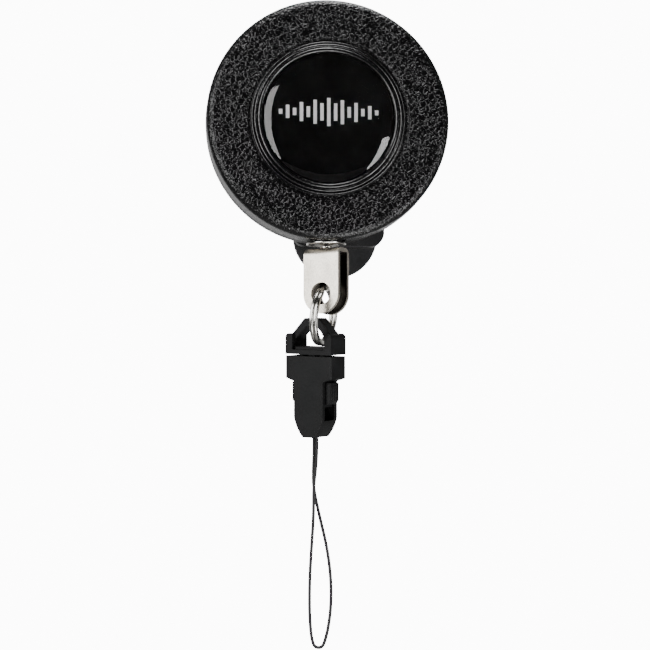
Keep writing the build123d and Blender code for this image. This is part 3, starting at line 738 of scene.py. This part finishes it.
eyelet = lathe([(radius, eyelet_bottom + height) for radius, height in eyelet_section()], 128)
finish(upright(eyelet), "rolled_eyelet", "case", eyelet_nickel, nodes=["cord_nozzle"], smooth=50)
refined("cable_stop", "crimped_stop", "tether_end", eyelet_nickel, 0.12)

# %% [markdown]
# The tether is steel cable in a smooth black sleeve. All of it but a few millimetres is wound inside at
# rest, so this piece is only a short rod from the cable's lowest point up into the eyelet, cut into short
# sections along its length.

# %% Tether
def sleeve_material():
    material, shader, where = start_material("tether_sleeve", Specular_IOR_Level=0.4)
    scuffs = noise(where, 0.6 * mm, 4.0, 0.6)
    shade = scuffs.steps(0.35, 0.7).blend((0.006, 0.006, 0.006, 1), (0.014, 0.014, 0.014, 1))
    feed(shader, "Base Color", shade)
    feed(shader, "Roughness", scuffs * 0.15 + 0.36)
    bump(shader, scuffs, 0.01 * mm)
    return material

sleeve = sleeve_material()
cable_low = Vector(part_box("tether_cable")[0]) / mm
tether_radius = 0.45
tether_top = -24.8
stretch = cutter_rod(tether_radius, (0, cord_y, cable_low.z), (0, cord_y, tether_top), 24)
only(stretch)
bpy.ops.object.mode_set(mode="EDIT")
bpy.ops.mesh.select_all(action="SELECT")
bpy.ops.mesh.subdivide(number_cuts=6)
bpy.ops.object.mode_set(mode="OBJECT")
finish(stretch, "sleeved_tether", None, sleeve, nodes=["tether_cable"])
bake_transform(stretch)

# %% [markdown]
# ## The cord loop
# The loop is a limp round braid. Two strands leave the buckle side by side, cross once, bow apart and
# fold tightly at the foot, where the cord has been pinched flat in its packet. A curve through a few
# points keeps that line smooth, and its own length coordinate carries the braid, so the pattern runs
# along the cord however it bends.

# %% Braid material
cord_radius = 0.4
loop_length = 0.102
braid_step = 0.9 * mm
strands_round = 4

def braid_material():
    """Two sets of strands that cross at a slant, from the curve's own length and turn coordinates."""
    material, shader, where = start_material("fine_braid", Roughness=0.62, Specular_IOR_Level=0.35,
                                             Sheen_Weight=0.12)
    along_cord = where.node("ShaderNodeTexCoord", None, "UV")
    length = along_cord.axis("X") * (loop_length / braid_step * 2 * math.pi)
    turn = along_cord.axis("Y") * (strands_round * 2 * math.pi)
    left = (length + turn).maths("SINE") * 0.5 + 0.5
    right = (length - turn).maths("SINE") * 0.5 + 0.5
    weave = left.maths("MAXIMUM", right)
    fibres = noise(where, 0.09 * mm, 3.0, 0.7)
    bump(shader, weave * 0.05 + fibres * 0.012, 1 * mm)
    tone = (weave * 0.7 + fibres * 0.3).steps(0.25, 0.95)
    feed(shader, "Base Color", tone.blend((0.0015, 0.0015, 0.0016, 1), (0.012, 0.012, 0.0125, 1)))
    return material

braid = braid_material()

# %% Loop route
loop_route = [
    (-2.29, -1.89, -74.97), (-2.24, -1.4, -78.44), (-2.45, -1.6, -82.8), (-2.4, -1.4, -87.2),
    (-1.0, -1.5, -93.7), (0.9, -1.75, -101.5), (1.85, -1.95, -109.4), (1.75, -2.0, -116.0),
    (1.1, -2.0, -120.6), (0.35, -2.0, -123.6), (-0.4, -2.0, -125.2), (-2.1, -2.05, -125.1),
    (-2.75, -2.1, -123.5), (-3.15, -2.15, -120.6), (-3.4, -2.2, -115.9), (-3.35, -2.35, -108.6),
    (-2.9, -2.55, -100.8), (-2.45, -2.8, -93.8), (-2.5, -2.95, -87.2), (-1.95, -2.8, -82.9),
    (-1.59, -1.96, -78.51), (-1.64, -2.45, -75.04),
]

def cord_curve():
    data = bpy.data.curves.new("braided_loop", "CURVE")
    data.dimensions = "3D"
    data.resolution_u = 10
    spline = data.splines.new("NURBS")
    spline.points.add(len(loop_route) - 1)
    for point, place_mm in zip(spline.points, loop_route):
        point.co = (*(Vector(place_mm) * mm), 1)
    spline.order_u = 3
    spline.use_endpoint_u = True
    data.bevel_depth = cord_radius * mm
    data.bevel_resolution = 5
    data.use_fill_caps = True
    data.materials.append(braid)
    loop = bpy.data.objects.new("braided_loop", data)
    bpy.context.collection.objects.link(loop)
    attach(loop, "buckle_body")
    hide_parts("loop_cord")
    print("cord loop through", len(loop_route), "points")

cord_curve()

# %% [markdown]
# ## What the case hides
# The spool, its spring, the axle and the screws are only seen when someone opens the reel, but a reader
# of the model may do just that. Their frame shapes are right, so they keep them and get real finishes.

# %% Finishes for the parts that stay
kept_parts = {
    "front_cover": case_plastic,
    "case_screws": screw_steel,
    "centre_post": brass,
    "post_screw": screw_steel,
    "spool": spool_plastic,
    "spool_washer": brass,
    "mainspring": spring_steel,
    "tether_wound": sleeve,
    "cord_knot": braid,
    "clip_spring": spring_steel,
}
for name, material in kept_parts.items():
    mesh = frame["nodes"][name].data
    mesh.materials.clear()
    mesh.materials.append(material)
print("finished", len(kept_parts), "inner parts")

# %% [markdown]
# ## Light, floor and camera
# Black goods are lit by what they mirror. A tall soft box on each side draws the crescents in the dome
# and the bright lips of the pebbles, one overhead lights the top edges and a long low one lights the
# undersides. A paler world behind the object outlines its edge, where every surface turns mirror-like.
# The world in front stays dark.

# %% Floor
floor_drop = 1.0
floor_size = 5.0

def make_floor():
    deselect()
    bpy.ops.mesh.primitive_plane_add(size=floor_size, location=(0, 0, cad_box[0][2] - floor_drop))
    floor = bpy.context.object
    floor.name = "studio_floor"
    material, shader, where = start_material("studio_floor", Roughness=0.7)
    shade = noise(where, 0.3, 2.0)
    feed(shader, "Base Color", shade.blend((0.8, 0.8, 0.8, 1), (0.86, 0.86, 0.86, 1)))
    floor.data.materials.append(material)

make_floor()

# %% Lamps
def softbox(name, location, size, power):
    """Rectangular lamp of this many watts that faces the reel."""
    data = bpy.data.lights.new(name, "AREA")
    data.shape = "RECTANGLE"
    data.size, data.size_y = size
    data.energy = power
    lamp = bpy.data.objects.new(name, data)
    bpy.context.collection.objects.link(lamp)
    lamp.location = location
    lamp.rotation_euler = (Vector((0, 0, -0.02)) - Vector(location)).to_track_quat("-Z", "Y").to_euler()

softbox("left_box", (-0.46, -0.39, 0.06), (0.4, 0.6), 5.5)
softbox("right_box", (0.42, -0.4, -0.2), (0.2, 0.4), 3)
softbox("top_box", (0.05, -0.04, 0.6), (0.5, 0.3), 6)
softbox("low_box", (0.12, -0.3, -0.52), (0.5, 0.16), 3)

# %% World
backdrop_white = 12.0

def studio_world():
    """White to the camera; otherwise dark in front of the object and pale behind it."""
    world = bpy.data.worlds.new("studio_air")
    world.use_nodes = True
    bpy.context.scene.world = world
    tree = world.node_tree
    direction = Wire(tree, tree.nodes.new("ShaderNodeTexCoord").outputs["Generated"])
    behind = direction.axis("Y").steps(0.3, 0.9) * 0.9 + 0.02
    seen = Wire(tree, tree.nodes.new("ShaderNodeLightPath").outputs["Is Camera Ray"])
    strength = seen * backdrop_white + (1 - seen) * behind
    tree.links.new(strength.socket, tree.nodes["Background"].inputs["Strength"])
    tree.nodes["Background"].inputs["Color"].default_value = (1, 1, 1, 1)

studio_world()

# %% Camera
def aim_camera():
    """A little to the left of square on, and from a little below."""
    data = bpy.data.cameras.new("camera")
    camera = bpy.data.objects.new("camera", data)
    bpy.context.collection.objects.link(camera)
    target = Vector((-0.0003, -0.0094, -0.0487))
    azimuth = math.radians(-5)
    elevation = math.radians(-5.5)
    distance = 0.5
    half_height = 0.0774
    level = math.cos(elevation)
    away = Vector((math.sin(azimuth) * level, -math.cos(azimuth) * level, math.sin(elevation)))
    camera.location = target + away * distance
    camera.rotation_euler = (-away).to_track_quat("-Z", "Y").to_euler()
    data.angle = 2 * math.atan(half_height / distance)
    data.clip_start = 0.005
    bpy.context.scene.camera = camera

aim_camera()
